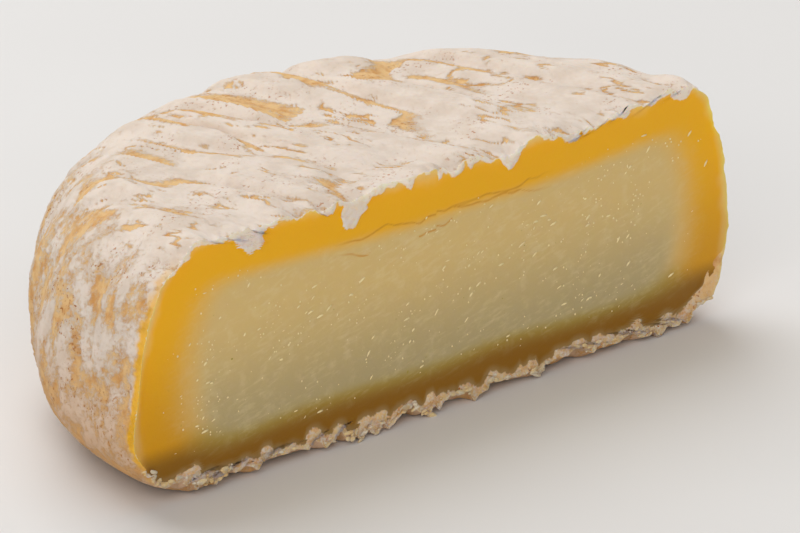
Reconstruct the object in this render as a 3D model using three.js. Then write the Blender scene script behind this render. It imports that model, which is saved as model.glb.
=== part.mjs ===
// Half of a small round goat's cheese with a wrinkled rind, cut straight through its middle.
// Millimetres, +Z up. The half rests on its base, and the flat cut faces -Y.
// The origin is the middle of the box round it, on the surface it rests on.
import * as THREE from "three";
import { mergeGeometries, mergeVertices } from "three/addons/utils/BufferGeometryUtils.js";

// Driving dimensions
const DIAMETER = 64; // of the round, so also the length of the cut
const HEIGHT = 21.4; // of the top's rim above the base
const TOP_SAG = 0.9; // how far the middle of the top has sunk below its rim
const TOP_TILT = 0.35; // how much higher than the mean the top stands at its left end

// The round has slumped unevenly as it dried: sizes at the cut's two ends and at the back
const SHOULDER_WIDTH = { right: 5.2, left: 8, back: 9 }; // rounding from side to top, in plan
const FOOT_WIDTH = { right: 4, left: 7, back: 5.5 }; // rounding from side to base, in plan
const WIDEST_HEIGHT = { right: 9.5, left: 7.5, back: 8.5 }; // where the side bulges most

// Folds of the rind run across the cut on the top and down the sides
const FOLD_DIRECTION = new THREE.Vector3(0.3, -0.95, 0).normalize();
const FOLD_PITCH = 3.4; // mean distance from fold to fold
const FOLD_LENGTH = 10; // mean length of a fold along the top
const FOLD_DROP = 13; // mean length of a fold down the side
const FOLD_DEPTH = 0.62; // from the crest of a fold to the groove beside it
const GROOVE_SHARE = 0.55; // share of a fold's width that slopes down into the groove
const CREST_SHARE = 0.4; // share of that depth by which the crests stand above the mean rind

// The knife tears the rind: notches along the edge of the cut, and a fringe that stands out from it
const TEAR_PITCH = 1.5; // mean length of a notch along the edge
const TEAR_PATCH = 6; // mean length of a stretch that is torn more or less
const TEAR_START = { none: 0.5, full: 1.3 }; // how rough a place is before it tears, and tears fully
const TEAR_DEPTH = { top: 0.6, side: 0.2, base: 1.3 };
const TEAR_REACH = 1.5; // how far a notch runs back from the cut
const FRINGE = { top: 0.15, side: 0.1, base: 0.35 }; // how far the torn rind stands out
const KNIFE_WAVE = { depth: 0.14, length: 9, height: 4 }; // unevenness of the cut face

// The base rests on small flat places and is a hair clear of the surface between them
const REST_PLACES = [
  { x: -21, y: 5 },
  { x: 21, y: 5 },
  { x: -9, y: 22 },
  { x: 9, y: 22 },
  { x: 0, y: 16 },
];
const REST_RADIUS = 2;
const BASE_LIFT = { height: 0.2, reach: 9 };

// Mesh fineness: squares along each side of the two grids that wrap the rind and fill the cut
const RIND_SQUARES = 64;
const CUT_SQUARES = RIND_SQUARES / 2;

const RADIUS = DIAMETER / 2;
const CUT_MIDDLE = new THREE.Vector3(0, 0, HEIGHT / 2);
const ZONE_SLOPE = { side: 0.3, flat: 0.9 }; // steepest slope of the top or base, and where it is all flat
const NOISE_ROW = { notch: 7, patch: 19, knife: 3 }; // keeps the random fields of the tear and the cut apart
const MERGE_DISTANCE = 1e-4;

// A repeatable random number from 0 to 1 for a point of a whole-number lattice
function latticeValue(i, j, k) {
  const value = Math.sin(i * 127.1 + j * 311.7 + k * 74.7) * 43758.5453;
  return value - Math.floor(value);
}

// Smooth random field from 0 to 1, with features about one unit across
function smoothNoise(x, y, z) {
  const cell = [Math.floor(x), Math.floor(y), Math.floor(z)];
  const ease = [x - cell[0], y - cell[1], z - cell[2]].map((t) => t * t * (3 - 2 * t));
  let sum = 0;
  for (let corner = 0; corner < 8; corner++) {
    const step = [corner & 1, (corner >> 1) & 1, corner >> 2];
    const weight = step.reduce((product, on, axis) => product * (on ? ease[axis] : 1 - ease[axis]), 1);
    sum += weight * latticeValue(cell[0] + step[0], cell[1] + step[1], cell[2] + step[2]);
  }
  return sum;
}

// A size that changes round the cheese: angle 0 is the cut's right end, 90 degrees the back
function sizeAround(sizes, angle) {
  const ends = THREE.MathUtils.lerp(sizes.right, sizes.left, (1 - Math.cos(angle)) / 2);
  return THREE.MathUtils.lerp(ends, sizes.back, Math.sin(angle) ** 2);
}

// Half outline of the cheese at an angle round it, from the middle of the base to the middle of the top
function halfOutline(angle) {
  const shoulder = sizeAround(SHOULDER_WIDTH, angle);
  const foot = sizeAround(FOOT_WIDTH, angle);
  const widest = sizeAround(WIDEST_HEIGHT, angle);
  const outline = new THREE.Path();
  outline.moveTo(0, 0);
  outline.lineTo(RADIUS - foot, 0);
  outline.absellipse(RADIUS - foot, widest, foot, widest, -Math.PI / 2, 0);
  outline.absellipse(RADIUS - shoulder, widest, shoulder, HEIGHT - widest, 0, Math.PI / 2);
  outline.lineTo(0, HEIGHT);
  return outline;
}

// How much of a surface with this upward slope counts as top, side and base
function zoneShares(slope) {
  const top = THREE.MathUtils.smoothstep(slope, ZONE_SLOPE.side, ZONE_SLOPE.flat);
  const base = THREE.MathUtils.smoothstep(-slope, ZONE_SLOPE.side, ZONE_SLOPE.flat);
  return { top, base, side: 1 - top - base };
}

function zoneSize(sizes, shares) {
  return sizes.top * shares.top + sizes.side * shares.side + sizes.base * shares.base;
}

// Height of the folded rind over its mean level: long crests with narrow grooves between them
function foldHeight(point) {
  const along = point.dot(FOLD_DIRECTION);
  const across = point.x * -FOLD_DIRECTION.y + point.y * FOLD_DIRECTION.x;
  const field = smoothNoise(across / FOLD_PITCH, along / FOLD_LENGTH, point.z / FOLD_DROP);
  const fromGroove = Math.abs(2 * field - 1);
  return FOLD_DEPTH * (THREE.MathUtils.smoothstep(fromGroove, 0, GROOVE_SHARE) - 1 + CREST_SHARE);
}

// Height of the base over the surface that it rests on
function baseLift(point) {
  const away = Math.min(...REST_PLACES.map((place) => Math.hypot(point.x - place.x, point.y - place.y)));
  return BASE_LIFT.height * THREE.MathUtils.clamp((away - REST_RADIUS) / BASE_LIFT.reach, 0, 1);
}

// Depth of the knife's notches at a place along the edge of the cut
function notchDepth(edgeLength, shares) {
  const notch = smoothNoise(edgeLength / TEAR_PITCH, NOISE_ROW.notch, 0);
  const patch = smoothNoise(edgeLength / TEAR_PATCH, NOISE_ROW.patch, 0);
  const torn = THREE.MathUtils.smoothstep(notch + patch, TEAR_START.none, TEAR_START.full);
  return zoneSize(TEAR_DEPTH, shares) * notch * torn;
}

// The angle round a square grid and the ring of the grid, 0 at its middle and 1 at its rim
function ringPlace(a, b) {
  const ring = Math.max(Math.abs(a), Math.abs(b));
  if (ring === 0) return { ring, turn: 0 };
  const quarter = Math.PI / 4;
  const turn =
    Math.abs(a) >= Math.abs(b)
      ? quarter * (b / a) + (a < 0 ? Math.PI : 0)
      : quarter * (2 - a / b) + (b < 0 ? Math.PI : 0);
  return { ring, turn };
}

// A point of the rind: ring 0 is the middle of the back, and ring 1 the edge of the cut
function rindPoint(ring, turn) {
  const bend = (ring * Math.PI) / 2;
  const spread = Math.sin(bend);
  const facing = new THREE.Vector3(spread * Math.cos(turn), Math.cos(bend), spread * Math.sin(turn));
  const angle = Math.atan2(facing.y, facing.x);
  const outline = halfOutline(angle);
  const share = 1 - Math.acos(THREE.MathUtils.clamp(facing.z, -1, 1)) / Math.PI;
  const place = outline.getPoint(share);
  const tangent = outline.getTangent(share);
  const shares = zoneShares(-tangent.x);

  const radial = new THREE.Vector3(Math.cos(angle), Math.sin(angle), 0);
  const outward = radial.clone().multiplyScalar(tangent.y).setZ(-tangent.x);
  const point = radial.clone().multiplyScalar(place.x).setZ(place.y);
  const fold = foldHeight(point) * (1 - shares.base);
  const edgeLength = share * outline.getLength() * (facing.x < 0 ? -1 : 1);
  const nearCut = Math.exp(-((point.y / TEAR_REACH) ** 2));
  const notch = notchDepth(edgeLength, shares) * nearCut;

  const heightShare = place.y / HEIGHT;
  const fromAxis = place.x / RADIUS;
  point.z -= heightShare ** 2 * (TOP_SAG * (1 - fromAxis ** 2) + (TOP_TILT * point.x) / RADIUS);
  point.z += (1 - heightShare) ** 4 * baseLift(point);
  point.addScaledVector(outward, fold - notch);
  point.y -= zoneSize(FRINGE, shares) * nearCut * (1 - notch / TEAR_DEPTH.base);
  return point;
}

// A point of the cut face: ring 0 is its middle, and ring 1 its edge
function cutPoint(ring, turn) {
  const point = rindPoint(1, turn);
  if (ring === 1) return point;
  point.lerp(CUT_MIDDLE, 1 - ring);
  const wave = smoothNoise(point.x / KNIFE_WAVE.length, NOISE_ROW.knife, point.z / KNIFE_WAVE.height);
  point.y = KNIFE_WAVE.depth * (wave - 0.5);
  return point;
}

// A square grid bent so that each of its points lies where the rule puts it
function bentGrid(squares, pointAt) {
  const grid = new THREE.PlaneGeometry(2, 2, squares, squares);
  const places = grid.attributes.position;
  for (let i = 0; i < places.count; i++) {
    const { ring, turn } = ringPlace(places.getX(i), places.getY(i));
    const point = pointAt(ring, turn);
    places.setXYZ(i, point.x, point.y, point.z);
  }
  grid.deleteAttribute("normal");
  grid.deleteAttribute("uv");
  return grid;
}

// The strip that joins the fine edge of the rind to the cut's own, coarser edge
function edgeStrip() {
  const steps = 4 * RIND_SQUARES;
  const turnAt = (step) => (2 * Math.PI * step) / steps;
  const corners = [];
  for (let step = 0; step < steps; step += 2) {
    corners.push(...[step, step + 1, step + 2].map((at) => rindPoint(1, turnAt(at))));
  }
  return new THREE.BufferGeometry().setFromPoints(corners);
}

function turnedInsideOut(geometry) {
  const corners = geometry.index.array;
  for (let i = 0; i < corners.length; i += 3) {
    [corners[i], corners[i + 1]] = [corners[i + 1], corners[i]];
  }
  return geometry;
}

// The rind and the cut face, joined along the edge of the cut into one closed solid
function halfCheese() {
  const rind = turnedInsideOut(bentGrid(RIND_SQUARES, rindPoint));
  const cut = bentGrid(CUT_SQUARES, cutPoint);
  const strip = edgeStrip();
  const loose = mergeGeometries([rind.toNonIndexed(), cut.toNonIndexed(), strip]);
  const solid = mergeVertices(loose, MERGE_DISTANCE);
  solid.computeBoundingBox();
  const box = solid.boundingBox;
  const middle = box.getCenter(new THREE.Vector3());
  solid.translate(-middle.x, -middle.y, -box.min.z);
  solid.computeVertexNormals();
  return solid;
}

const rindAndPaste = new THREE.MeshStandardMaterial({ color: 0xe0cfae, roughness: 0.75, metalness: 0 });
const cheese = new THREE.Mesh(halfCheese(), rindAndPaste);
cheese.name = "half_cheese";

const part = new THREE.Group();
part.add(cheese);

export default part;
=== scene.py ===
"""Looks of half a small round goat's cheese: its wrinkled rind under a white bloom, the paste
that the cut shows, and the crumbs and torn rind that cling to the cut."""
import math

import bpy
import numpy as np
from mathutils import Matrix, Vector


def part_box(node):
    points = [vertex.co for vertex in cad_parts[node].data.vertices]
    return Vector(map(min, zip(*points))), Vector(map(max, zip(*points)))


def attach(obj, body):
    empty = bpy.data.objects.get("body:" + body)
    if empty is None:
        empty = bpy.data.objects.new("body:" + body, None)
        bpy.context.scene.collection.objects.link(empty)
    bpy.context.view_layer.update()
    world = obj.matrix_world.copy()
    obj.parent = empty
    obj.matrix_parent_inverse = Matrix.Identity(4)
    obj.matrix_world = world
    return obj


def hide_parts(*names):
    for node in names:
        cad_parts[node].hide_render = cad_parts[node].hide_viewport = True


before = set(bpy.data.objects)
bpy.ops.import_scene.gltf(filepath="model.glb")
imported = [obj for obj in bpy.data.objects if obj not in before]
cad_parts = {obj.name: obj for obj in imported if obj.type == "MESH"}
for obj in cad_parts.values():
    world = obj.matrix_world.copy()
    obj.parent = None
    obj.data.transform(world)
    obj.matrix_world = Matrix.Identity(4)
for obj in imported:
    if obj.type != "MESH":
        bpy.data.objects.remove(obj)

bl_info = {
    "name": "Half goat cheese",
    "version": (1, 0, 0),
    "blender": (4, 5, 0),
    "location": "3D View > Sidebar > Cheese",
    "description": "Builds half a small goat's cheese with its bloomed rind and its cut paste",
    "category": "Object",
}

MM = 0.001
NODE = "half_cheese"
BODY_NAME = "half_cheese_look"

# Folds of the rind run this way over the top, across the cut
FOLD_DIRECTION = Vector((0.3, -0.95, 0)).normalized()
GROOVE_SHARE = 0.55
CREST_SHARE = 0.4
STEP_ACROSS = 0.02

# Slopes between which the top or base turns into the side
ZONE_SLOPE = (0.3, 0.9)

# Rows of the random field that keep its uses apart
NOTCH_ROW = 7
PATCH_ROW = 19
KNIFE_ROW = 3
LIP_ROW = 31
BAND_ROW = 43
FLAP_ROW = 49

# Fineness of the mesh: squares along a side of the rind's grid, and steps in each rounded corner
RIND_SQUARES = 272
CUT_SQUARES = RIND_SQUARES // 2
ARC_STEPS = 24
BASE_HASTE = 1.25

# Torn flaps of rind that hang over the top of the cut: place along it, drop and width in millimetres
FLAPS = (
    {"x": -9.0, "drop": 2.3, "width": 1.5},
    {"x": -19.8, "drop": 1.8, "width": 1.9},
    {"x": 8.2, "drop": 1.1, "width": 1.3},
    {"x": 26.6, "drop": 0.9, "width": 1.3},
)

# Hairline cracks under the golden layer: row of the random field, and shift inward in millimetres
CRACKS = (
    {"row": 57, "shift": 0},
    {"row": 66, "shift": 0.75},
    {"row": 75, "shift": -0.6},
)

# A crack's bends, small bends and stretches along the cut, and how far it strays, in millimetres
CRACK_BEND = 2.6
CRACK_TREMBLE = 0.9
CRACK_STRETCH = 5
CRACK_WANDER = 0.9
FAR_FROM_CRACK = 9

# Crumpled rind that laps over the lower right corner of the cut, in millimetres
CORNER = {"depth": 2.2, "pitch": 0.8, "x": (24.5, 29), "z": (3.5, 6.5)}

# Large and small teeth of the lip, and the folds and threads of a flap, in millimetres
LIP_PITCH = (1.7, 0.6)
FLAP_FOLDS = (0.7, 0.8)
FLAP_THREAD = 0.55

# How gradually the golden layer ends at the top, side and base, as a share of its thickness
BORDER_SOFTNESS = (0.3, 0.75, 0.42)

# Unevenness of the golden layer: length along the edge in millimetres, and share of its thickness
BAND_WAVE = 7
BAND_SHARE = 0.16

# Waves of the knife along and up the cut, in millimetres
KNIFE_WAVES = (9, 4)

# Lamps of the stage: place and width in metres, and power in watts
LAMPS = {
    "key": {"place": (0.1, 0.45, 0.6), "size": 0.7, "power": 4.4},
    "fill": {"place": (-0.7, -0.6, 0.5), "size": 0.8, "power": 5},
}
WORLD_COLOUR = (1, 0.99, 0.97, 1)
WORLD_STRENGTH = 0.36
SENSOR_WIDTH = 36


# Kinds of setting


def srgb(red, green, blue):
    """Linear colour of an 8-bit screen colour."""
    parts = np.array([red, green, blue]) / 255
    linear = np.where(parts <= 0.04045, parts / 12.92, ((parts + 0.055) / 1.055) ** 2.4)
    return [float(part) for part in linear]


def length(name, millimetres, description):
    return bpy.props.FloatProperty(
        name=name, description=description, default=millimetres * MM, unit="LENGTH", precision=5
    )


def lengths(name, millimetres, description):
    return bpy.props.FloatVectorProperty(
        name=name,
        description=description,
        size=len(millimetres),
        default=[value * MM for value in millimetres],
        unit="LENGTH",
        precision=5,
    )


def count(name, value, description):
    return bpy.props.IntProperty(name=name, description=description, default=value, min=0)


def rotation(name, degrees, description):
    return bpy.props.FloatProperty(
        name=name, description=description, default=math.radians(degrees), subtype="ANGLE"
    )


def colour(name, red, green, blue, description):
    return bpy.props.FloatVectorProperty(
        name=name,
        description=description,
        size=3,
        default=srgb(red, green, blue),
        min=0,
        max=1,
        subtype="COLOR",
    )


class CheeseForm(bpy.types.PropertyGroup):
    """Sizes of the half round, the same as those of its solid."""

    diameter: length("Diameter", 64, "Across the round, so also the length of the cut")
    height: length("Height", 21.4, "Height of the top's rim above the base")
    top_sag: length("Top sag", 0.9, "How far the middle of the top has sunk below its rim")
    top_tilt: length("Top tilt", 0.35, "How much higher than the mean the top stands at its left end")
    shoulder: lengths("Shoulder", (5.2, 8, 9), "Rounding from side to top at the right, left and back")
    foot: lengths("Foot", (4, 7, 5.5), "Rounding from side to base at the right, left and back")
    widest: lengths("Widest", (9.5, 7.5, 8.5), "Height of the bulge at the right, left and back")
    fold_pitch: length("Fold pitch", 3.4, "Mean distance from fold to fold")
    fold_length: length("Fold length", 10, "Mean length of a fold along the top")
    fold_drop: length("Fold drop", 13, "Mean length of a fold down the side")
    fold_depth: length("Fold depth", 0.62, "From the crest of a fold to the groove beside it")


class CheeseTear(bpy.types.PropertyGroup):
    """How the knife tore the rind along the edge of the cut."""

    pitch: length("Notch pitch", 1.5, "Mean length of a notch along the edge")
    patch: length("Patch", 6, "Mean length of a stretch that is torn more or less")
    depth: lengths("Notch depth", (0.45, 0.2, 0.85), "Depth of the notches at the top, side and base")
    reach: length("Reach", 1.5, "How far a notch runs back from the cut")
    fringe: lengths("Fringe", (0, 0.06, 0.35), "How far torn rind stands out at the top, side and base")
    tooth_pitch: length("Tooth pitch", 0.55, "Mean length of the small teeth along the edge")
    tooth_depth: lengths("Tooth depth", (0.3, 0.08, 0.95), "Depth of the small teeth at top, side and base")
    knife_depth: length("Knife wave", 0.14, "Unevenness of the cut face")
    lip: lengths("Lip", (0.06, -0.3, 0.35), "Rind that laps over the cut at the top, side and base")
    lip_teeth: lengths("Lip teeth", (0.8, 0, 0.6), "How ragged that lip is at the top, side and base")


class RindLook(bpy.types.PropertyGroup):
    """Relief and colours of the rind."""

    bloom_depth: length("Bloom depth", 0.13, "How far the white bloom stands above bare rind")
    fuzz_depth: length("Fuzz depth", 0.17, "Height of the bloom's small tufts")
    wrinkle_depth: length("Wrinkle depth", 0.3, "Height of the fine wrinkles along the folds")
    grain_depth: length("Grain depth", 0.3, "Height of the side's coarse grain")
    white: colour("White", 230, 215, 201, "Thick bloom")
    shade: colour("Shaded white", 218, 201, 185, "Thinner, greyer bloom")
    ochre: colour("Ochre", 230, 190, 134, "Bare rind")
    rust: colour("Rust", 210, 154, 92, "Darker bare rind")
    speck: colour("Speck", 184, 112, 48, "Small pits in the bloom")


class PasteLook(bpy.types.PropertyGroup):
    """Zones and colours of the paste on the cut face."""

    top_band: length("Top band", 4.0, "Thickness of the golden layer under the top")
    left_band: length("Left band", 5.6, "Thickness of the golden layer at the left end")
    right_band: length("Right band", 4.5, "Thickness of the golden layer at the right end")
    base_band: length("Base band", 3.8, "Thickness of the brown layer above the base")
    lip_height: length("Lip height", 0.16, "How far the rind's lip stands out from the cut")
    crack_depth: length("Crack depth", 0.035, "Depth of the hairline cracks under the golden layer")
    smear_depth: length("Smear depth", 0.05, "Height of the knife's smears")
    golden: colour("Golden", 242, 180, 8, "Ripe layer under the rind")
    pale: colour("Pale golden", 246, 206, 120, "Ripe layer right under the rind")
    # Painted shade: the golden layer as it looks lower down the cut, darker where less light reaches
    shaded_golden: colour("Shaded golden", 206, 146, 12, "Ripe layer lower down")
    straw: colour("Straw", 220, 190, 126, "Core of the paste")
    # Painted shade: the core's straw as it looks lower down the cut, darker where less light reaches
    shaded_straw: colour("Shaded straw", 185, 167, 123, "Lower part of the core")
    curd: colour("Curd", 232, 214, 164, "Streaks and flecks of the core")
    # Painted shade: small holes of the core drawn only as darker spots, without any hollow
    hole_shade: colour("Hole shade", 166, 146, 56, "Small holes in the core")
    crack: colour("Crack", 208, 142, 20, "Hairline cracks under the golden layer")
    # Painted light: lighter than the rind's white, so that rind lapping over the cut looks as brightly lit
    # as the top
    lip: colour("Lip", 250, 240, 226, "Rind that laps over the top of the cut")
    olive: colour("Olive", 170, 150, 76, "Between the core and the brown layer")
    # Brown: the layer above the base, partly its real colour and partly painted shade that darkens the foot
    # of the cut
    brown: colour("Brown", 145, 99, 14, "Layer above the base")


class CrumbLook(bpy.types.PropertyGroup):
    """Crumbs and knife smears on the cut, and the torn fringe under it."""

    density: bpy.props.FloatProperty(
        name="Crumb density", description="Crumbs on each square metre of the cut", default=2.4e6, min=0
    )
    size: length("Crumb size", 0.075, "Mean half width of a crumb")
    fringe_step: length("Fringe step", 0.32, "Mean distance between chips of the fringe")
    fringe_size: length("Fringe size", 0.17, "Mean half width of a chip of the fringe")
    seed: count("Seed", 5, "Picks the random places")
    crumb: colour("Crumb", 242, 224, 170, "Crumbs of paste")


class StudioLook(bpy.types.PropertyGroup):
    """Floor, light and camera."""

    azimuth: rotation("Azimuth", -43.19, "Turn of the camera round the cheese")
    elevation: rotation("Elevation", 20.94, "Height of the camera's view")
    distance: length("Distance", 900, "From the camera to what it aims at")
    lens: bpy.props.FloatProperty(
        name="Lens", description="Focal length of the camera in millimetres", default=512.3, min=1
    )
    aim: lengths("Aim", (0, -5.9, 10), "Point of the cheese near the middle of the picture")
    aim_right: length("Aim right", 3.96, "Move of the aim to the picture's right")
    aim_up: length("Aim up", -0.435, "Move of the aim up the picture")
    floor_size: length("Floor", 6000, "Width of the floor")
    floor: colour("Floor colour", 226, 224, 222, "Pale floor")


class CheeseSettings(bpy.types.PropertyGroup):
    """All settings of the half cheese."""

    form: bpy.props.PointerProperty(type=CheeseForm)
    tear: bpy.props.PointerProperty(type=CheeseTear)
    rind: bpy.props.PointerProperty(type=RindLook)
    paste: bpy.props.PointerProperty(type=PasteLook)
    crumbs: bpy.props.PointerProperty(type=CrumbLook)
    studio: bpy.props.PointerProperty(type=StudioLook)


# The rule of the form


def smoothstep(value, low, high):
    part = np.clip((value - low) / (high - low), 0, 1)
    return part * part * (3 - 2 * part)


def mixed(first, second, part):
    return first + (second - first) * part


def lattice_value(i, j, k):
    """Repeatable random number from 0 to 1 for a point of a whole-number lattice."""
    value = np.sin(i * 127.1 + j * 311.7 + k * 74.7) * 43758.5453
    return value - np.floor(value)


def smooth_noise(x, y, z):
    """Smooth random field from 0 to 1, with features about one unit across."""
    values = np.broadcast_arrays(np.asarray(x, float), np.asarray(y, float), np.asarray(z, float))
    cells = [np.floor(value) for value in values]
    eases = [smoothstep(value - cell, 0, 1) for value, cell in zip(values, cells)]
    total = np.zeros(values[0].shape)
    for corner in range(8):
        steps = (corner & 1, (corner >> 1) & 1, corner >> 2)
        weight = np.ones(values[0].shape)
        for step, ease in zip(steps, eases):
            weight = weight * (ease if step else 1 - ease)
        total += weight * lattice_value(*[cell + step for cell, step in zip(cells, steps)])
    return total


def size_around(sizes, angle):
    """A size that changes round the cheese: angle 0 is the cut's right end, a quarter turn the back."""
    right, left, back = sizes
    ends = mixed(right, left, (1 - np.cos(angle)) / 2)
    return mixed(ends, back, np.sin(angle) ** 2)


def half_outline(form, angle, part):
    """Distance from the axis, height, their slopes and the whole length of the outline at each angle."""
    radius = form.diameter / 2
    shoulder = size_around(form.shoulder, angle)
    foot = size_around(form.foot, angle)
    widest = size_around(form.widest, angle)

    def place(leg):
        """Point and slope at a leg number: 0 to 1 base, 1 to 2 foot, 2 to 3 shoulder, 3 to 4 top."""
        turn = np.clip(leg - 1, 0, 2) * math.pi / 2
        low = leg < 2
        width = np.where(low, foot, shoulder)
        rise = np.where(low, widest, form.height - widest)
        distance = radius - width + width * np.sin(turn)
        distance = distance * np.clip(leg, 0, 1) * np.clip(4 - leg, 0, 1)
        height = widest - rise * np.cos(turn)
        slope = np.stack([width * np.cos(turn), rise * np.sin(turn)])
        return distance, height, slope / np.hypot(*slope)

    legs = np.concatenate([[0], np.linspace(1, 3, 2 * ARC_STEPS + 1), [4]])
    table = np.array([place(np.full(angle.shape, leg))[:2] for leg in legs])
    steps = np.hypot(*np.diff(table, axis=0).swapaxes(0, 1))
    reached = np.concatenate([np.zeros((1, angle.size)), np.cumsum(steps, axis=0)])
    target = part * reached[-1]
    row = np.clip((reached <= target).sum(axis=0) - 1, 0, len(steps) - 1)
    column = np.arange(angle.size)
    leg = mixed(legs[row], legs[row + 1], (target - reached[row, column]) / steps[row, column])
    return *place(leg), reached[-1]


def ring_places(squares):
    """Ring from 0 in the middle to 1 at the rim, and turn round it, for each point of a square grid."""
    line = np.linspace(-1, 1, squares + 1)
    across, up = [axis.ravel() for axis in np.meshgrid(line, line)]
    ring = np.maximum(abs(across), abs(up))
    beside = math.pi / 4 * up / np.where(across == 0, 1, across) + np.where(across < 0, math.pi, 0)
    above = math.pi / 4 * (2 - across / np.where(up == 0, 1, up)) + np.where(up < 0, math.pi, 0)
    return ring, np.where(abs(across) >= abs(up), beside, above)


def rind_surface(form, tear, ring, turn):
    """Points of the rind and what is known of each: ring 0 is the middle of the back, ring 1 the cut."""
    bend = ring * math.pi / 2
    facing_x = np.sin(bend) * np.cos(turn)
    facing_z = np.clip(np.sin(bend) * np.sin(turn), -1, 1)
    angle = np.arctan2(np.cos(bend), facing_x)
    part = 1 - (np.arccos(facing_z) / math.pi) ** BASE_HASTE
    distance, height, slope, whole = half_outline(form, angle, part)

    top = smoothstep(-slope[0], *ZONE_SLOPE)
    base = smoothstep(slope[0], *ZONE_SLOPE)
    zones = np.stack([top, 1 - top - base, base])
    plain = np.stack([distance * np.cos(angle), distance * np.sin(angle), height])
    outward = np.stack([np.cos(angle) * slope[1], np.sin(angle) * slope[1], -slope[0]])

    along = plain[0] * FOLD_DIRECTION.x + plain[1] * FOLD_DIRECTION.y
    across = plain[0] * -FOLD_DIRECTION.y + plain[1] * FOLD_DIRECTION.x
    grain = np.stack([across / form.fold_pitch, along / form.fold_length, height / form.fold_drop])
    field = smooth_noise(*grain)
    rising = smooth_noise(grain[0] + STEP_ACROSS, grain[1], grain[2]) > field
    groove = 2 * field - 1
    fold = form.fold_depth * (smoothstep(abs(groove), 0, GROOVE_SHARE) - 1 + CREST_SHARE) * (1 - base)

    edge = part * whole * np.where(facing_x < 0, -1, 1)
    near_cut = np.exp(-((plain[1] / tear.reach) ** 2))
    notch = smooth_noise(edge / tear.pitch, NOTCH_ROW, 0)
    patch = smooth_noise(edge / tear.patch, PATCH_ROW, 0)
    tooth = smooth_noise(edge / tear.tooth_pitch, NOTCH_ROW, 1)
    near_edge = np.exp(-((plain[1] / (0.4 * tear.reach)) ** 2))
    notch_depth = np.array(tear.depth) @ zones * notch * smoothstep(notch + patch, 0.5, 1.3) * near_cut
    tooth_depth = np.array(tear.tooth_depth) @ zones * tooth * near_edge

    point = plain.copy()
    sunk = form.top_sag * (1 - (distance / (form.diameter / 2)) ** 2)
    point[2] -= (height / form.height) ** 2 * (sunk + form.top_tilt * plain[0] / (form.diameter / 2))
    smooth_point = point.copy()
    point += outward * (fold - notch_depth - tooth_depth)
    point[1] -= np.array(tear.fringe) @ zones * near_cut * (1 - notch_depth / tear.depth[2])
    return {
        "point": point.T,
        "smooth": smooth_point.T,
        "grain": grain.T,
        "below": np.where(rising, -groove, groove),
        "zones": zones,
        "edge": edge,
        "left": (facing_x < 0).astype(float),
    }


def nearest(points, line):
    """Distance from each point to the nearest point of a line, and that point's number."""
    gaps = np.empty(len(points))
    numbers = np.empty(len(points), int)
    for start in range(0, len(points), 2000):
        rows = slice(start, start + 2000)
        squared = ((points[rows, None] - line[None]) ** 2).sum(axis=-1)
        numbers[rows] = squared.argmin(axis=1)
        gaps[rows] = np.sqrt(squared.min(axis=1))
    return gaps, numbers


def ripeness(points, line, thickness, softness):
    """Depth under all of a line at once, in layer thicknesses, and the softness of the layer there."""
    step = np.linalg.norm(np.roll(line, -1, axis=0) - line, axis=1) / thickness
    depth = np.empty(len(points))
    soft = np.empty(len(points))
    for start in range(0, len(points), 2000):
        rows = slice(start, start + 2000)
        gap = np.linalg.norm(points[rows, None] - line[None], axis=-1) / thickness
        weight = step / np.maximum(gap, 0.02) ** 5
        depth[rows] = (weight.sum(axis=1) * 0.75) ** -0.25
        soft[rows] = (weight * softness).sum(axis=1) / weight.sum(axis=1)
    return depth, soft


def rim_numbers(squares):
    """Numbers of a square grid's rim points, counter-clockwise from the first corner."""
    grid = np.arange((squares + 1) ** 2).reshape(squares + 1, squares + 1)
    return np.concatenate([grid[0, :-1], grid[:-1, -1], grid[-1, :0:-1], grid[:0:-1, 0]])


def grid_faces(squares):
    """Corner numbers of a square grid's faces, counter-clockwise."""
    grid = np.arange((squares + 1) ** 2).reshape(squares + 1, squares + 1)
    return np.stack([grid[:-1, :-1], grid[:-1, 1:], grid[1:, 1:], grid[1:, :-1]], axis=-1).reshape(-1, 4)


def lip_depths(tear, rim):
    """How far the rind laps over the cut at each point of its edge."""
    large, small = [rim["edge"] / (pitch * MM) for pitch in LIP_PITCH]
    teeth = smooth_noise(large, LIP_ROW, 0) * smooth_noise(small, LIP_ROW, 4)
    return np.array(tear.lip) @ rim["zones"] + 2 * np.array(tear.lip_teeth) @ rim["zones"] * teeth


def flap_depths(points):
    """How far the torn flaps hang over the cut above each of its points."""
    depth = np.zeros(len(points))
    across, down = FLAP_FOLDS
    ragged = smooth_noise(points[:, 0] / (across * MM), FLAP_ROW, points[:, 2] / (down * MM)) - 0.5
    frayed = smooth_noise(points[:, 0] / (FLAP_THREAD * MM), FLAP_ROW, 0.5)
    for flap in FLAPS:
        beside = abs(points[:, 0] / MM - flap["x"]) / flap["width"] + 0.7 * ragged
        drop = flap["drop"] * MM * (0.65 + 0.6 * frayed)
        depth = np.maximum(depth, drop * (1 - smoothstep(beside, 0.5, 1.05)))
    return depth * (points[:, 2] > points[:, 2].max() / 2)


def corner_depths(points):
    """How far crumpled rind laps over the cut in its lower right corner."""
    x, z = points[:, 0] / MM, points[:, 2] / MM
    frayed = smooth_noise(x / CORNER["pitch"], FLAP_ROW, z / CORNER["pitch"])
    inside = smoothstep(x, *CORNER["x"]) * (1 - smoothstep(z, *CORNER["z"]))
    return CORNER["depth"] * MM * frayed * inside


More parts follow.
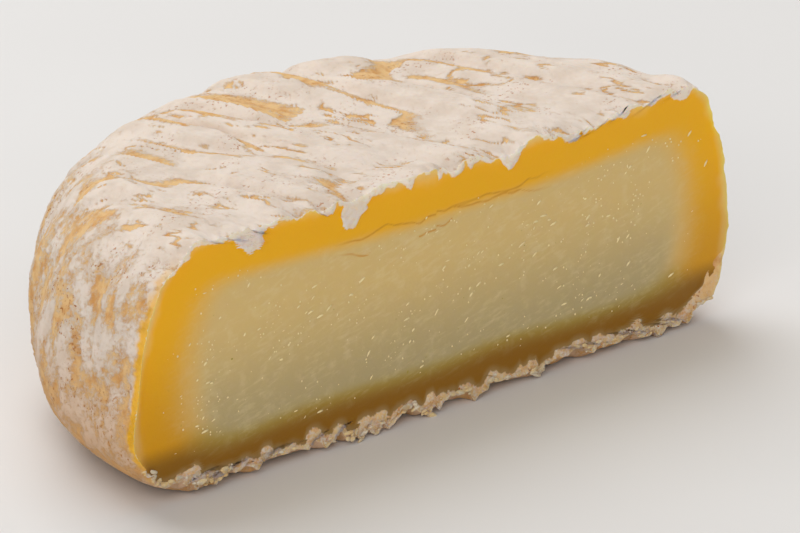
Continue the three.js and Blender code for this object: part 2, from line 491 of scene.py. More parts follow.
def crack_gaps(points, under):
    """Distance in millimetres from the nearest crack, for points this far under the golden layer."""
    x = points[:, 0] / MM
    gap = np.full(len(points), np.inf)
    for crack in CRACKS:
        bend = smooth_noise(x / CRACK_BEND, crack["row"], 0)
        tremble = smooth_noise(x / CRACK_TREMBLE, crack["row"], 3)
        shown = smooth_noise(x / CRACK_STRETCH, crack["row"], 6) > 0.35
        away = abs(under / MM - crack["shift"] - CRACK_WANDER * (bend + 0.4 * tremble - 0.7))
        gap = np.minimum(gap, np.where(shown, away, np.inf))
    return np.minimum(gap, FAR_FROM_CRACK)


def band_thickness(paste, rim):
    """Thickness of the ripe layer inward from each point of the cut's edge."""
    side = mixed(paste.right_band, paste.left_band, rim["left"])
    zones = rim["zones"]
    thickness = zones[0] * paste.top_band + zones[1] * side + zones[2] * paste.base_band
    uneven = smooth_noise(rim["edge"] / (BAND_WAVE * MM), BAND_ROW, 0) - 0.5
    return thickness * (1 + BAND_SHARE * uneven)


def cut_fields(form, tear, paste, rim, points):
    """What the paste needs at each point of the cut: its zones, the lip of rind and the cracks."""
    flat = points[:, [0, 2]]
    depth, close = nearest(flat, rim["smooth"][:, [0, 2]])
    to_edge, beside = nearest(flat, rim["point"][:, [0, 2]])
    band = band_thickness(paste, rim)
    thickness = band[close]
    softness = np.array(BORDER_SOFTNESS) @ rim["zones"]
    ripe, soft = ripeness(flat, rim["smooth"][:, [0, 2]], band, softness)
    core = smoothstep(ripe, 1 - soft, 1 + soft)
    lapped = np.maximum(lip_depths(tear, rim)[beside], flap_depths(points))
    lapped = np.maximum(lapped, corner_depths(points))
    lip_bloom = np.stack([np.full(len(band), 0.75), 0.2 + 0.5 * rim["left"], np.full(len(band), 0.45)])
    inside = smoothstep(points[:, 0] / MM, -11.5, -8) * (1 - smoothstep(points[:, 0] / MM, 9, 13))
    return {
        "depth": depth / MM,
        "core": core,
        "lip": (lapped - to_edge) / MM,
        "lip_bloom": (lip_bloom * rim["zones"]).sum(axis=0)[beside],
        "crack": crack_gaps(points, depth - 1.02 * thickness),
        "cracked": inside * (rim["zones"][0][close] > 0.5),
        "low": 1 - smoothstep(points[:, 2] / form.height, 0.1, 0.42),
    }


# Making meshes


def plain_mesh(name, points, faces, edges=()):
    mesh = bpy.data.meshes.new(name)
    mesh.from_pydata(points.tolist(), list(edges), faces)
    return mesh


def write_field(mesh, name, values, domain="POINT"):
    """Store a number, a vector or a yes or no for each point or face."""
    values = np.asarray(values)
    if values.dtype == bool:
        layer = mesh.attributes.new(name, "BOOLEAN", domain)
        layer.data.foreach_set("value", values)
    elif values.ndim == 2:
        layer = mesh.attributes.new(name, "FLOAT_VECTOR", domain)
        layer.data.foreach_set("vector", values.astype(np.float32).ravel())
    else:
        layer = mesh.attributes.new(name, "FLOAT", domain)
        layer.data.foreach_set("value", values.astype(np.float32))


def cheese_mesh(settings):
    """Closed mesh of the half cheese, in the place of its solid, with the fields its looks read."""
    form, tear, paste = settings.form, settings.tear, settings.paste
    rind = rind_surface(form, tear, *ring_places(RIND_SQUARES))
    loop = rim_numbers(RIND_SQUARES)
    rim = {
        "point": rind["point"][loop],
        "smooth": rind["smooth"][loop],
        "zones": rind["zones"][:, loop],
        "edge": rind["edge"][loop],
        "left": rind["left"][loop],
    }

    ring, turn = ring_places(CUT_SQUARES)
    at_rim = rind_surface(form, tear, np.ones(turn.shape), turn)
    middle = np.array([0, 0, form.height / 2])
    torn = at_rim["point"] - at_rim["smooth"]
    cut = mixed(middle, at_rim["smooth"], ring[:, None]) + torn * smoothstep(ring, 0.8, 1)[:, None]
    wave = smooth_noise(cut[:, 0] / (KNIFE_WAVES[0] * MM), KNIFE_ROW, cut[:, 2] / (KNIFE_WAVES[1] * MM))
    cut[:, 1] = tear.knife_depth * (wave - 0.5)

    inner = ring < 1
    rind_count = len(rind["point"])
    numbers = np.empty(len(cut), int)
    numbers[inner] = rind_count + np.arange(inner.sum())
    rows, columns = np.divmod(np.flatnonzero(~inner), CUT_SQUARES + 1)
    numbers[~inner] = 2 * rows * (RIND_SQUARES + 1) + 2 * columns
    strip = np.stack([loop[0::2], loop[1::2], np.roll(loop, -2)[0::2]], axis=-1)
    rind_faces = grid_faces(RIND_SQUARES)[:, ::-1].tolist()
    cut_faces = numbers[grid_faces(CUT_SQUARES)].tolist() + strip.tolist()

    points = np.concatenate([rind["point"], cut[inner]])
    low, high = np.array(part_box(NODE))
    lowest, highest = points.min(axis=0), points.max(axis=0)
    move = (low + high - lowest - highest) / 2
    move[2] = low[2] - lowest[2]
    mesh = plain_mesh(BODY_NAME, points + move, rind_faces + cut_faces)

    fields = cut_fields(form, tear, paste, rim, points)
    inner_count = int(inner.sum())
    for name, values in fields.items():
        write_field(mesh, name, values)
    for number, name in enumerate(("top", "side", "base")):
        write_field(mesh, name, np.concatenate([rind["zones"][number], np.zeros(inner_count)]))
    write_field(mesh, "below", np.concatenate([rind["below"], np.full(inner_count, -1)]))
    write_field(mesh, "grain", np.concatenate([rind["grain"], np.zeros((inner_count, 3))]))
    write_field(mesh, "from_cut", np.concatenate([rind["smooth"][:, 1] / MM, np.zeros(inner_count)]))
    write_field(mesh, "left", np.concatenate([rind["left"], np.zeros(inner_count)]))
    write_field(mesh, "on_cut", np.arange(len(points)) >= rind_count)
    write_field(mesh, "cut_face", np.arange(len(rind_faces) + len(cut_faces)) >= len(rind_faces), "FACE")
    return mesh


# Making node trees


def add(tree, kind, inputs=None, output=0, **settings):
    """Add a node, link or set its inputs, and return one of its outputs."""
    node = tree.nodes.new(kind)
    for name, value in settings.items():
        setattr(node, name, value)
    for key, value in (inputs or {}).items():
        if isinstance(value, bpy.types.NodeSocket):
            tree.links.new(value, node.inputs[key])
        else:
            node.inputs[key].default_value = value
    return node.outputs[output]


def calc(tree, operation, first, second=0.0):
    return add(tree, "ShaderNodeMath", {0: first, 1: second}, operation=operation)


def times(tree, first, second):
    return calc(tree, "MULTIPLY", first, second)


def plus(tree, first, second):
    return calc(tree, "ADD", first, second)


def minus(tree, first, second):
    return calc(tree, "SUBTRACT", first, second)


def ramp(tree, value, low, high, start=0.0, end=1.0):
    """Smooth step of a value between two limits."""
    sockets = {0: value, 1: low, 2: high, 3: start, 4: end}
    return add(tree, "ShaderNodeMapRange", sockets, interpolation_type="SMOOTHSTEP")


def noise(tree, place, scale, detail=2.0, roughness=0.5):
    sockets = {"Vector": place, "Scale": scale, "Detail": detail, "Roughness": roughness}
    return add(tree, "ShaderNodeTexNoise", sockets)


def stretch(tree, place, x, y, z):
    return add(tree, "ShaderNodeVectorMath", {0: place, 1: (x, y, z)}, operation="MULTIPLY")


def turned(tree, place, degrees):
    """A place turned in the plane of the cut."""
    sockets = {"Vector": place, "Angle": math.radians(degrees)}
    return add(tree, "ShaderNodeVectorRotate", sockets, rotation_type="Y_AXIS")


def blend(tree, part, first, second):
    return add(tree, "ShaderNodeMix", {0: part, 6: first, 7: second}, output=2, data_type="RGBA")


def mix_value(tree, part, first, second):
    return add(tree, "ShaderNodeMix", {0: part, 2: first, 3: second})


def rgba(rgb):
    return (*rgb, 1)


def field(tree, name, data_type="FLOAT"):
    return add(tree, "GeometryNodeInputNamedAttribute", {"Name": name}, data_type=data_type)


def shade_field(tree, name):
    return add(tree, "ShaderNodeAttribute", output="Fac", attribute_name=name)


SOCKET_KINDS = {
    float: "NodeSocketFloat",
    int: "NodeSocketInt",
    bpy.types.Material: "NodeSocketMaterial",
}


def geometry_tree(name, inputs):
    """New tree with these named inputs beside its geometry, and the node that brings them in."""
    tree = bpy.data.node_groups.new(name, "GeometryNodeTree")
    tree.interface.new_socket("Geometry", in_out="INPUT", socket_type="NodeSocketGeometry")
    for title, value in inputs.items():
        tree.interface.new_socket(title, in_out="INPUT", socket_type=SOCKET_KINDS[type(value)])
    tree.interface.new_socket("Geometry", in_out="OUTPUT", socket_type="NodeSocketGeometry")
    return tree, tree.nodes.new("NodeGroupInput").outputs


def step(tree, kind, geometry, inputs=None, **settings):
    """Add a node that takes a geometry and gives it back changed."""
    return add(tree, "GeometryNode" + kind, {"Geometry": geometry, **(inputs or {})}, **settings)


def end_tree(tree, geometry):
    tree.links.new(geometry, tree.nodes.new("NodeGroupOutput").inputs[0])


def apply_tree(piece, tree, inputs):
    """Run a tree on a piece and keep the plain mesh that it makes."""
    modifier = piece.modifiers.new(tree.name, "NODES")
    modifier.node_group = tree
    for item in tree.interface.items_tree:
        if item.in_out == "INPUT" and item.name in inputs:
            modifier[item.identifier] = inputs[item.name]
    graph = bpy.context.evaluated_depsgraph_get()
    made = bpy.data.meshes.new_from_object(
        piece.evaluated_get(graph), preserve_all_data_layers=True, depsgraph=graph
    )
    piece.modifiers.remove(modifier)
    source = piece.data
    name = source.name
    piece.data = made
    bpy.data.meshes.remove(source)
    made.name = name


def new_piece(name, mesh):
    piece = bpy.data.objects.new(name, mesh)
    bpy.context.scene.collection.objects.link(piece)
    return piece


def in_millimetres(tree):
    place = add(tree, "GeometryNodeInputPosition")
    return stretch(tree, place, 1 / MM, 1 / MM, 1 / MM)


def along_normal(tree, height):
    normal = add(tree, "GeometryNodeInputNormal")
    return add(tree, "ShaderNodeVectorMath", {0: normal, "Scale": height}, operation="SCALE")


def relief_tree(inputs):
    """Bloom, tufts and grain of the rind, and the lip, smears and cracks of the cut."""
    tree, given = geometry_tree("Cheese relief", inputs)
    place = in_millimetres(tree)
    grain = field(tree, "grain", "FLOAT_VECTOR")
    top = field(tree, "top")
    below = field(tree, "below")
    base = field(tree, "base")
    on_cut = field(tree, "on_cut", "BOOLEAN")

    # Bare streaks lie under the upper edge of each groove, more of them towards the back
    patch = noise(tree, place, 0.13, 1)
    ragged = noise(tree, grain, 2.1, 3, 0.6)
    depth_y = add(tree, "ShaderNodeSeparateXYZ", {0: place}, output=1)
    more = ramp(tree, depth_y, -13, 12, 0.1, 0.95)
    spread = plus(tree, times(tree, minus(tree, patch, 0.5), 1.1), more)
    width = plus(tree, spread, times(tree, minus(tree, ragged, 0.45), 1.6))
    upper = ramp(tree, below, 0, 0.14)
    lower = ramp(tree, minus(tree, width, below), -0.05, 0.35)
    streak = times(tree, times(tree, upper, lower), 0.85)
    lines = noise(tree, stretch(tree, grain, 1.5, 1.3, 1), 1.4, 2, 0.55)
    thin = ramp(tree, calc(tree, "ABSOLUTE", minus(tree, lines, 0.5)), 0.006, 0.035, 1, 0)
    shown = ramp(tree, noise(tree, place, 0.28, 1), 0.46, 0.6)
    streak = calc(tree, "MAXIMUM", streak, times(tree, thin, shown))
    top_bloom = minus(tree, 1, streak)

    # On the side the bloom is worn into upright patches, fuller along the cut
    upright = stretch(tree, place, 1, 1, 0.5)
    worn = noise(tree, upright, 0.5, 6, 0.72)
    edge_width = ramp(tree, noise(tree, place, 0.3, 2), 0.3, 0.7, 0.1, 3.0)
    along_cut = ramp(tree, minus(tree, edge_width, field(tree, "from_cut")), -0.3, 1.2, 0, 0.9)
    along_cut = times(tree, along_cut, field(tree, "left"))
    side_bloom = calc(tree, "MAXIMUM", ramp(tree, worn, 0.34, 0.64), along_cut)
    bloom = mix_value(tree, top, side_bloom, top_bloom)

    tufts = minus(tree, noise(tree, place, 1.1, 4, 0.65), 0.5)
    wrinkles = minus(tree, noise(tree, stretch(tree, grain, 2.4, 1.3, 1.2), 1.6, 5, 0.62), 0.5)
    coarse = minus(tree, noise(tree, upright, 0.9, 4, 0.65), 0.5)
    rough = mix_value(tree, top, 1, 0.3)
    rind = times(tree, bloom, given["Bloom Depth"])
    rind = plus(tree, rind, times(tree, tufts, given["Fuzz Depth"]))
    rind = plus(tree, rind, times(tree, wrinkles, given["Wrinkle Depth"]))
    rind = plus(tree, rind, times(tree, times(tree, coarse, rough), given["Grain Depth"]))
    rind = times(tree, rind, minus(tree, 1, base))

    lip = ramp(tree, field(tree, "lip"), 0, 0.35)
    crumpled = ramp(tree, noise(tree, place, 2.2, 2), 0.3, 0.7, 0.4, 1.3)
    paste = times(tree, times(tree, lip, crumpled), given["Lip Height"])
    split = ramp(tree, field(tree, "crack"), 0, 0.24, 1, 0)
    split = times(tree, split, field(tree, "cracked"))
    paste = minus(tree, paste, times(tree, split, given["Crack Depth"]))
    knife = turned(tree, place, 24)
    smears = ramp(tree, noise(tree, stretch(tree, knife, 0.35, 1, 2.2), 0.9, 3), 0.55, 0.75)
    smears = times(tree, smears, field(tree, "core"))
    paste = plus(tree, paste, times(tree, smears, given["Smear Depth"]))

    height = mix_value(tree, on_cut, rind, paste)
    kept = {"Name": "bloom", "Value": bloom}
    geometry = step(tree, "StoreNamedAttribute", given["Geometry"], kept, data_type="FLOAT", domain="POINT")
    geometry = step(tree, "SetPosition", geometry, {"Offset": along_normal(tree, height)})
    geometry = step(tree, "SetShadeSmooth", geometry, {"Shade Smooth": True})
    sharp = calc(tree, "GREATER_THAN", add(tree, "GeometryNodeInputMeshEdgeAngle"), 0.9)
    creased = {"Selection": sharp, "Shade Smooth": False}
    geometry = step(tree, "SetShadeSmooth", geometry, creased, domain="EDGE")
    geometry = step(tree, "SetMaterial", geometry, {"Material": given["Rind"]})
    on_face = {"Selection": field(tree, "cut_face", "BOOLEAN"), "Material": given["Paste"]}
    end_tree(tree, step(tree, "SetMaterial", geometry, on_face))
    return tree


def random_value(tree, low, high, seed):
    sockets = {2: low, 3: high, "Seed": seed}
    return add(tree, "FunctionNodeRandomValue", sockets, output=1, data_type="FLOAT")


def random_vector(tree, low, high, seed):
    sockets = {0: low, 1: high, "Seed": seed}
    return add(tree, "FunctionNodeRandomValue", sockets, data_type="FLOAT_VECTOR")


def end_scatter(tree, given, placed, lumps, strength, smooth, material):
    """Set shapes on their places, roughen them, give them their material and end the tree."""
    geometry = add(tree, "GeometryNodeInstanceOnPoints", placed)
    geometry = step(tree, "RealizeInstances", geometry)
    uneven = times(tree, times(tree, minus(tree, lumps, 0.5), given["Size"]), strength)
    geometry = step(tree, "SetPosition", geometry, {"Offset": along_normal(tree, uneven)})
    geometry = step(tree, "SetShadeSmooth", geometry, {"Shade Smooth": smooth})
    end_tree(tree, step(tree, "SetMaterial", geometry, {"Material": given[material]}))


def crumb_tree(inputs):
    """Crumbs pressed and smeared along the knife's way over the core of the cut."""
    tree, given = geometry_tree("Cut crumbs", inputs)
    place = in_millimetres(tree)
    clump = ramp(tree, noise(tree, stretch(tree, place, 1, 0, 1), 0.22, 2), 0.42, 0.68, 0.05, 1)
    chance = times(tree, clump, field(tree, "core"))
    spread = {
        "Mesh": given["Geometry"],
        "Selection": field(tree, "cut_face", "BOOLEAN"),
        "Density": times(tree, chance, given["Density"]),
        "Seed": given["Seed"],
    }
    points = add(tree, "GeometryNodeDistributePointsOnFaces", spread, output="Points")

    crumb = add(tree, "GeometryNodeMeshIcoSphere", {"Radius": 1.0, "Subdivisions": 1})
    size = times(tree, given["Size"], ramp(tree, random_value(tree, 0, 1, 11), 0, 1, 0.35, 1.3))
    long = ramp(tree, random_value(tree, 0, 1, 23), 0.7, 1, 1, 4.5)
    scale = add(
        tree,
        "ShaderNodeCombineXYZ",
        {0: times(tree, size, long), 1: times(tree, size, 0.4), 2: size},
    )
    tilt = random_value(tree, math.radians(-58), math.radians(6), 37)
    turn = add(tree, "FunctionNodeEulerToRotation", {0: add(tree, "ShaderNodeCombineXYZ", {1: tilt})})
    placed = {"Points": points, "Instance": crumb, "Rotation": turn, "Scale": scale}
    lumps = noise(tree, in_millimetres(tree), 4, 2)
    end_scatter(tree, given, placed, lumps, 1.0, True, "Crumbs")
    return tree


def fringe_tree(inputs):
    """Ragged chips of rind along the lower edge of the cut."""
    tree, given = geometry_tree("Rind fringe", inputs)
    curve = add(tree, "GeometryNodeMeshToCurve", {"Mesh": given["Geometry"]})
    spaced = {"Curve": curve, "Length": given["Step"]}
    dots = add(tree, "GeometryNodeCurveToPoints", spaced, output="Points", mode="LENGTH")
    place = in_millimetres(tree)
    patchy = ramp(tree, noise(tree, place, 0.35, 1), 0.4, 0.62, 0.35, 1.25)
    size = times(tree, given["Size"], random_value(tree, 0.6, 1.35, given["Seed"]))
    size = times(tree, size, patchy)
    jitter = random_vector(tree, (-0.3 * MM, -0.1 * MM, 0), (0.3 * MM, 0.25 * MM, 0.4 * MM), 41)
    points = step(tree, "SetPosition", dots, {"Offset": jitter})
    chip = add(tree, "GeometryNodeMeshIcoSphere", {"Radius": 1.0, "Subdivisions": 2})
    wide = random_value(tree, 1.1, 2.3, 53)
    scale = add(
        tree,
        "ShaderNodeCombineXYZ",
        {
            0: times(tree, size, wide),
            1: times(tree, size, 0.6),
            2: times(tree, size, 0.8),
        },
    )
    tilt = random_vector(tree, (-0.4, -0.5, -0.5), (0.4, 0.5, 0.5), 67)
    turn = add(tree, "FunctionNodeEulerToRotation", {0: tilt})
    placed = {"Points": points, "Instance": chip, "Rotation": turn, "Scale": scale}
    lumps = noise(tree, in_millimetres(tree), 2.6, 4, 0.7)
    end_scatter(tree, given, placed, lumps, 2.6, False, "Chips")
    return tree


# Materials


def bloom_group(rind):
    """Shader group: white bloom over bare rind, with small pits, from how thick the bloom is."""
    tree = bpy.data.node_groups.new("Bloomed rind", "ShaderNodeTree")
    for name, kind in (("Bloom", "Float"), ("Pits", "Float"), ("Place", "Vector")):
        tree.interface.new_socket(name, in_out="INPUT", socket_type="NodeSocket" + kind)
    for name, kind in (("Color", "Color"), ("Height", "Float")):
        tree.interface.new_socket(name, in_out="OUTPUT", socket_type="NodeSocket" + kind)
    given = tree.nodes.new("NodeGroupInput").outputs
    place = given["Place"]
    fine = noise(tree, place, 2.9, 5, 0.72)
    mottle = noise(tree, place, 0.35, 3, 0.6)
    cover = plus(tree, given["Bloom"], times(tree, minus(tree, fine, 0.5), 1.8))
    cover = ramp(tree, cover, 0.2, 0.86)
    white = blend(tree, ramp(tree, mottle, 0.38, 0.66), rgba(rind.white), rgba(rind.shade))
    rusty = ramp(tree, noise(tree, place, 0.9, 4, 0.6), 0.4, 0.7)
    bare = blend(tree, rusty, rgba(rind.ochre), rgba(rind.rust))
    mixed_colour = blend(tree, cover, bare, white)
    grains = noise(tree, place, 3.6, 2, 0.5)
    clusters = ramp(tree, noise(tree, place, 0.24, 1), 0.5, 0.64)
    pits = times(tree, ramp(tree, grains, 0.61, 0.68), times(tree, clusters, given["Pits"]))
    mixed_colour = blend(tree, pits, mixed_colour, rgba(rind.speck))
    height = plus(tree, times(tree, cover, 0.6), times(tree, fine, 0.5))
    height = minus(tree, height, times(tree, pits, 0.5))
    output = tree.nodes.new("NodeGroupOutput")
    tree.links.new(mixed_colour, output.inputs["Color"])
    tree.links.new(height, output.inputs["Height"])
    return tree


def new_material(name):
    """Material with one Principled shader, its tree, the shader and the place in millimetres."""
    material = bpy.data.materials.new(name)
    material.use_nodes = True
    tree = material.node_tree
    shader = tree.nodes["Principled BSDF"]
    place = stretch(tree, add(tree, "ShaderNodeTexCoord", output="Object"), 1 / MM, 1 / MM, 1 / MM)
    return material, tree, shader, place


def set_soft(shader, roughness, weight, depth, radius):
    """Dull skin over a body that light enters."""
    shader.inputs["Roughness"].default_value = roughness
    shader.inputs["Subsurface Weight"].default_value = weight
    shader.inputs["Subsurface Scale"].default_value = depth
    shader.inputs["Subsurface Radius"].default_value = radius


def add_bump(tree, shader, height, distance, strength=0.6):
    bump = add(tree, "ShaderNodeBump", {"Height": height, "Distance": distance, "Strength": strength})
    tree.links.new(bump, shader.inputs["Normal"])


def bloomed(tree, group, bloom, pits, place):
    sockets = {"Bloom": bloom, "Pits": pits, "Place": place}
    outputs = add(tree, "ShaderNodeGroup", sockets, node_tree=group).node.outputs
    return outputs["Color"], outputs["Height"]


def rind_material(rind, paste, group):
    material, tree, shader, place = new_material("bloomed_rind")
    top = shade_field(tree, "top")
    pits = minus(tree, 1, times(tree, top, 0.35))
    shown, height = bloomed(tree, group, shade_field(tree, "bloom"), pits, place)
    # The side's colour turns towards rust lower down: up to 60% near the base, none above 14 mm
    low_rust = ramp(tree, add(tree, "ShaderNodeSeparateXYZ", {0: place}, output=2), 2, 14, 0.6, 0)
    low_rust = times(tree, low_rust, minus(tree, 1, top))
    shown = blend(tree, low_rust, shown, rgba(rind.rust))
    ragged = times(tree, minus(tree, noise(tree, place, 1.1, 3), 0.5), 1.6)
    from_cut = plus(tree, shade_field(tree, "from_cut"), ragged)
    shining = times(tree, ramp(tree, from_cut, 0.3, 0.9, 0.9, 0), shade_field(tree, "side"))
    shown = blend(tree, times(tree, shining, shade_field(tree, "left")), shown, rgba(paste.golden))
    tree.links.new(shown, shader.inputs["Base Color"])
    set_soft(shader, 0.82, 0.25, 0.0012, (1, 0.7, 0.45))
    shader.inputs["Specular IOR Level"].default_value = 0.25
    add_bump(tree, shader, height, 0.0002, 0.7)
    return material


def paste_material(paste, group):
    material, tree, shader, place = new_material("ripened_paste")
    core = shade_field(tree, "core")
    depth = shade_field(tree, "depth")
    low = shade_field(tree, "low")
    lip = shade_field(tree, "lip")
    mottle = noise(tree, place, 0.25, 3, 0.55)

    under = plus(tree, depth, times(tree, minus(tree, mottle, 0.5), 3))
    ripe = blend(tree, ramp(tree, under, -0.5, 1.2), rgba(paste.pale), rgba(paste.golden))
    level = add(tree, "ShaderNodeSeparateXYZ", {0: place}, output=2)
    # Painted shade: the golden layer is blended towards the shaded golden below 16 mm, darker towards the
    # bottom of the cut
    ripe = blend(tree, ramp(tree, level, 4, 16, 0.8, 0), ripe, rgba(paste.shaded_golden))
    # The brown layer near the base: partly its real colour, partly painted shade
    ripe = blend(tree, ramp(tree, low, 0.55, 0.95), ripe, rgba(paste.brown))
    rim = times(tree, ramp(tree, depth, 0, 0.9, 0.5, 0), ramp(tree, low, 0.4, 0.9, 1, 0))
    ripe = blend(tree, rim, ripe, rgba(paste.straw))
    # Painted shade: the core is blended towards the shaded straw below 14 mm, darker towards the bottom of
    # the cut
    middle = blend(tree, ramp(tree, level, 4, 14, 1, 0), rgba(paste.straw), rgba(paste.shaded_straw))
    turning = ramp(tree, core, 0.5, 1)
    greenish = blend(tree, ramp(tree, low, 0.3, 0.8), rgba(paste.straw), rgba(paste.olive))
    inner = blend(tree, turning, greenish, middle)
    shown = blend(tree, ramp(tree, core, 0.0, 0.9), ripe, inner)

    curd = noise(tree, place, 0.8, 4, 0.6)
    paler = ramp(tree, curd, 0.5, 0.72, 0, 0.22)
    shown = blend(tree, times(tree, paler, core), shown, rgba(paste.curd))
    knife = turned(tree, place, 12)
    drawn = noise(tree, stretch(tree, knife, 0.4, 1, 1.7), 1.9, 4, 0.62)
    drawn = ramp(tree, plus(tree, drawn, times(tree, mottle, 0.5)), 0.74, 1.0, 0, 0.28)
    shown = blend(tree, times(tree, drawn, core), shown, rgba(paste.curd))
    # Painted shade: darker spots where small holes of the core would hold shade
    holes = ramp(tree, noise(tree, place, 1.5, 1), 0.76, 0.8)
    shown = blend(tree, times(tree, holes, core), shown, rgba(paste.hole_shade))
    split = ramp(tree, shade_field(tree, "crack"), 0.02, 0.15, 1, 0)
    split = times(tree, split, shade_field(tree, "cracked"))
    shown = blend(tree, times(tree, split, 0.7), shown, rgba(paste.crack))

    # Along the foot of the cut beside the lip, the colour is blended partly towards the shaded straw
    tan = times(tree, ramp(tree, lip, -0.6, 0.1, 0, 0.35), ramp(tree, low, 0.85, 1))
    shown = blend(tree, tan, shown, rgba(paste.shaded_straw))

    teeth = times(tree, minus(tree, noise(tree, place, 2.2, 3), 0.5), 0.5)
    lapped = ramp(tree, plus(tree, lip, teeth), 0.0, 0.14)
    lip_bloom = shade_field(tree, "lip_bloom")
    skin, height = bloomed(tree, group, lip_bloom, 1.0, place)
    # Painted light: where the lip carries much bloom, its skin is blended towards the lighter lip colour
    skin = blend(tree, ramp(tree, lip_bloom, 0.5, 0.75, 0, 0.45), skin, rgba(paste.lip))
    shown = blend(tree, lapped, shown, skin)
    tree.links.new(shown, shader.inputs["Base Color"])
    rough = mix_value(tree, lapped, mix_value(tree, core, 0.36, 0.5), 0.82)
    set_soft(shader, 0.45, 0.6, 0.0025, (0.85, 0.62, 0.22))
    shader.inputs["Specular IOR Level"].default_value = 0.22
    tree.links.new(rough, shader.inputs["Roughness"])
    grain = plus(tree, times(tree, curd, 0.5), times(tree, noise(tree, place, 3.2, 3), 0.3))
    bumps = mix_value(tree, lapped, grain, height)
    add_bump(tree, shader, bumps, 0.00012, 0.5)
    return material


def crumb_material(crumbs):
    material, tree, shader, place = new_material("paste_crumbs")
    light = [min(1, value * 1.12) for value in crumbs.crumb]
    tone = ramp(tree, noise(tree, place, 0.9, 3), 0.35, 0.7)
    shown = blend(tree, tone, rgba(crumbs.crumb), rgba(light))
    tree.links.new(shown, shader.inputs["Base Color"])
    set_soft(shader, 0.6, 0, 0.001, (1, 0.7, 0.35))
    add_bump(tree, shader, noise(tree, place, 5, 3), 0.00005)
    return material


def fringe_material(crumbs, group):
    material, tree, shader, place = new_material("torn_rind")
    bloom = ramp(tree, noise(tree, place, 0.55, 2), 0.36, 0.64, 0.25, 0.8)
    shown, height = bloomed(tree, group, bloom, 0.4, place)
    shown = blend(tree, 0.3, shown, rgba(crumbs.crumb))
    tree.links.new(shown, shader.inputs["Base Color"])
    set_soft(shader, 0.8, 0.3, 0.001, (1, 0.7, 0.45))
    add_bump(tree, shader, height, 0.00015)
    return material


def floor_material(studio):
    material, tree, shader, place = new_material("pale_floor")
    tone = ramp(tree, noise(tree, place, 0.02, 2), 0.3, 0.7, 0.97, 1)
    level = add(tree, "ShaderNodeCombineXYZ", {0: tone, 1: tone, 2: tone})
    shown = add(tree, "ShaderNodeVectorMath", {0: level, 1: tuple(studio.floor)}, operation="MULTIPLY")
    tree.links.new(shown, shader.inputs["Base Color"])
    shader.inputs["Roughness"].default_value = 0.7
    return material


def shared_bloom(rind):
    return bpy.data.node_groups.get("Bloomed rind") or bloom_group(rind)


def finish_piece(piece):
    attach(piece, "root")


# Operators


class CHEESE_OT_half(bpy.types.Operator):
    """Build the half cheese: its rind with bloom and folds, and the cut"""

    bl_idname = "cheese.half"
    bl_label = "Half cheese"

    def execute(self, context):
        settings = context.scene.goat_cheese
        group = shared_bloom(settings.rind)
        piece = new_piece(BODY_NAME, cheese_mesh(settings))
        inputs = {
            "Bloom Depth": settings.rind.bloom_depth,
            "Fuzz Depth": settings.rind.fuzz_depth,
            "Wrinkle Depth": settings.rind.wrinkle_depth,
            "Grain Depth": settings.rind.grain_depth,
            "Lip Height": settings.paste.lip_height,
            "Crack Depth": settings.paste.crack_depth,
            "Smear Depth": settings.paste.smear_depth,
            "Rind": rind_material(settings.rind, settings.paste, group),
            "Paste": paste_material(settings.paste, group),
        }
        apply_tree(piece, relief_tree(inputs), inputs)
        finish_piece(piece)
        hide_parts(NODE)
        return {"FINISHED"}


class CHEESE_OT_crumbs(bpy.types.Operator):
    """Scatter crumbs and knife smears over the core of the cut"""

    bl_idname = "cheese.crumbs"
    bl_label = "Cut crumbs"

    def execute(self, context):
        settings = context.scene.goat_cheese
        piece = new_piece("cut_crumbs", bpy.data.objects[BODY_NAME].data.copy())
        inputs = {
            "Density": settings.crumbs.density,
            "Size": settings.crumbs.size,
            "Seed": settings.crumbs.seed,
            "Crumbs": crumb_material(settings.crumbs),
        }
        apply_tree(piece, crumb_tree(inputs), inputs)
        finish_piece(piece)
        return {"FINISHED"}


class CHEESE_OT_fringe(bpy.types.Operator):
    """Set torn chips of rind along the lower edge of the cut"""

    bl_idname = "cheese.fringe"
    bl_label = "Rind fringe"

    def execute(self, context):
        settings = context.scene.goat_cheese
        body = bpy.data.objects[BODY_NAME].data
        loop = rim_numbers(RIND_SQUARES)
        base = np.empty(len(body.vertices), np.float32)
        body.attributes["base"].data.foreach_get("value", base)
        places = np.empty((len(body.vertices), 3), np.float32)
        body.vertices.foreach_get("co", places.ravel())
        lower = loop[base[loop] > 0.3]
        lower = lower[np.argsort(places[lower, 0])]
        edges = [(number, number + 1) for number in range(len(lower) - 1)]
        piece = new_piece("rind_fringe", plain_mesh("rind_fringe", places[lower], [], edges))
        inputs = {
            "Step": settings.crumbs.fringe_step,
            "Size": settings.crumbs.fringe_size,
            "Seed": settings.crumbs.seed,
            "Chips": fringe_material(settings.crumbs, shared_bloom(settings.rind)),
        }
        apply_tree(piece, fringe_tree(inputs), inputs)
        finish_piece(piece)
        return {"FINISHED"}


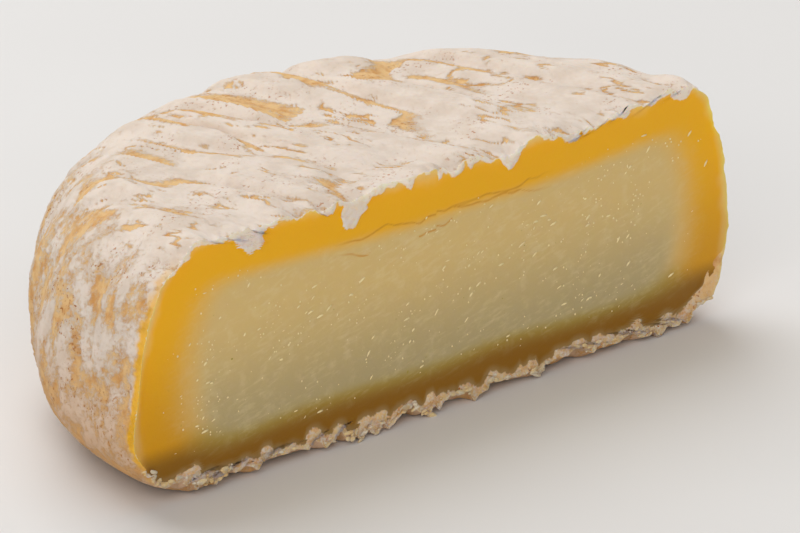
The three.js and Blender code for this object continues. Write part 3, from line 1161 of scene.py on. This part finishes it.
class CHEESE_OT_stage(bpy.types.Operator):
    """Set the floor, the light and the camera"""

    bl_idname = "cheese.stage"
    bl_label = "Stage"

    def execute(self, context):
        studio = context.scene.goat_cheese.studio
        half = studio.floor_size / 2
        corners = np.array([[-half, -half, 0], [half, -half, 0], [half, half, 0], [-half, half, 0]])
        mesh = plain_mesh("floor", corners, [(0, 1, 2, 3)])
        mesh.materials.append(floor_material(studio))
        floor = new_piece("floor", mesh)
        for name, lamp in LAMPS.items():
            self.add_lamp(context, name, **lamp)
        self.set_world(context)
        self.add_camera(context, studio)
        context.scene.view_settings.view_transform = "Standard"
        return {"FINISHED"}

    def add_lamp(self, context, name, place, size, power):
        data = bpy.data.lights.new(name, "AREA")
        data.size = size
        data.energy = power
        lamp = bpy.data.objects.new(name, data)
        lamp.location = place
        lamp.rotation_euler = Vector(place).to_track_quat("Z", "Y").to_euler()
        context.scene.collection.objects.link(lamp)

    def set_world(self, context):
        world = bpy.data.worlds.new("studio")
        world.use_nodes = True
        background = world.node_tree.nodes["Background"]
        background.inputs["Color"].default_value = WORLD_COLOUR
        background.inputs["Strength"].default_value = WORLD_STRENGTH
        context.scene.world = world

    def add_camera(self, context, studio):
        turn, lift = studio.azimuth, studio.elevation
        right = Vector((math.cos(turn), math.sin(turn), 0))
        back = Vector((math.sin(turn) * math.cos(lift), -math.cos(turn) * math.cos(lift), math.sin(lift)))
        up = back.cross(right)
        aim = Vector(studio.aim) + right * studio.aim_right + up * studio.aim_up
        data = bpy.data.cameras.new("camera")
        data.lens = studio.lens
        data.sensor_width = SENSOR_WIDTH
        data.sensor_fit = "HORIZONTAL"
        data.clip_end = 20
        camera = bpy.data.objects.new("camera", data)
        axes = Matrix((right, up, back)).transposed().to_4x4()
        camera.matrix_world = Matrix.Translation(aim + back * studio.distance) @ axes
        context.scene.collection.objects.link(camera)
        context.scene.camera = camera


OPERATORS = (CHEESE_OT_half, CHEESE_OT_crumbs, CHEESE_OT_fringe, CHEESE_OT_stage)


class CHEESE_PT_panel(bpy.types.Panel):
    """Builds the half cheese and lists its settings"""

    bl_label = "Half goat cheese"
    bl_idname = "CHEESE_PT_panel"
    bl_space_type = "VIEW_3D"
    bl_region_type = "UI"
    bl_category = "Cheese"

    def draw(self, context):
        settings = context.scene.goat_cheese
        for operator in OPERATORS:
            self.layout.operator(operator.bl_idname)
        for name in ("form", "tear", "rind", "paste", "crumbs", "studio"):
            group = getattr(settings, name)
            box = self.layout.box()
            box.label(text=name.capitalize())
            for key in group.__annotations__:
                box.prop(group, key)


GROUPS = (CheeseForm, CheeseTear, RindLook, PasteLook, CrumbLook, StudioLook, CheeseSettings)


def register():
    for group in (*GROUPS, *OPERATORS, CHEESE_PT_panel):
        bpy.utils.register_class(group)
    bpy.types.Scene.goat_cheese = bpy.props.PointerProperty(type=CheeseSettings)


def unregister():
    del bpy.types.Scene.goat_cheese
    for group in reversed((*GROUPS, *OPERATORS, CHEESE_PT_panel)):
        bpy.utils.unregister_class(group)


def main():
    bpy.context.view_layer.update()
    register()
    bpy.ops.cheese.half()
    bpy.ops.cheese.crumbs()
    bpy.ops.cheese.fringe()
    bpy.ops.cheese.stage()


if __name__ == "__main__":
    main()
